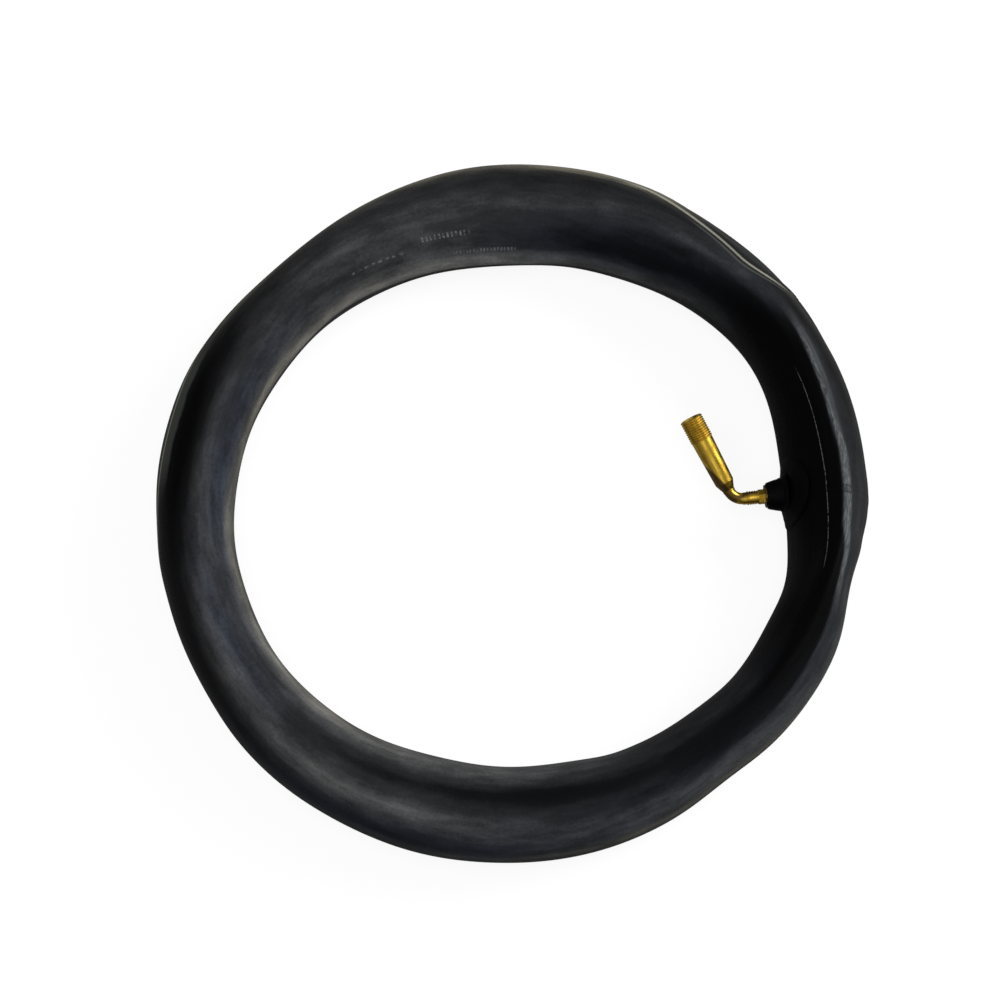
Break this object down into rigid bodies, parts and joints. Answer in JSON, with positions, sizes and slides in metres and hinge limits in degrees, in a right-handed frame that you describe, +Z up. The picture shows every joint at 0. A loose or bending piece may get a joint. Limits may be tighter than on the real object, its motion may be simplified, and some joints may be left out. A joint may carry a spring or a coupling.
{
  "type": "bicycle inner tube",
  "caption": "Slack black rubber ring for a small bicycle wheel, with a bent brass valve standing on its inner side and a screwed-in valve core.",
  "frame": {"origin": "on the surface that the tube lies on, on the axis of the ring", "axes": "+Z up, along the ring's axis (the wheel's axle); the valve stands on the ring's inner side at +X and its foot points to -X; its barrel bends towards +Y and up"},
  "size_m": [0.2359, 0.2443, 0.0386],
  "materials": {
    "tube_rubber": "satin, with faint talc and paler worn bands",
    "boot_rubber": "satin",
    "stem_brass": "drawn and polished, lightly tarnished",
    "washer_brass": "dull",
    "core_brass": "machined",
    "spring_steel": "drawn wire",
    "gasket_red": "matt",
    "seal_rubber": "matt"
  },
  "bodies": {
    "tube": {"tube_body": "tube_rubber", "reinforcing_patch": "tube_rubber", "valve_base": "boot_rubber", "foot_washer": "washer_brass", "valve_stem": "stem_brass"},
    "core": {"core_barrel": "core_brass", "barrel_gasket": "gasket_red", "core_spring": "spring_steel"},
    "plug": {"core_plug": "core_brass"},
    "pin": {"core_pin": "core_brass", "seal_cup": "core_brass", "seal_disc": "seal_rubber"}
  },
  "joints": [
    {"name": "core_lift", "type": "slide", "parent": "tube", "child": "core", "axis": [-0.4542, 0.8008, 0.3904], "range_m": [0, 0.0035]},
    {"name": "core_turn", "type": "hinge", "parent": "core", "child": "plug", "pos_m": [0.05945, 0.02311, 0.02919], "axis": [-0.4542, 0.8008, 0.3904], "range_deg": [0, 1801]},
    {"name": "pin_press", "type": "slide", "parent": "core", "child": "pin", "axis": [0.4542, -0.8008, -0.3904], "range_m": [0, 0.0018], "stiffness_N_per_m": 1000, "springref_m": -0.0015, "deforming": ["core_spring"]}
  ],
  "couplings": [
    {"joint": "core_turn", "follows": "core_lift", "rad_per_m": 8976}
  ]
}
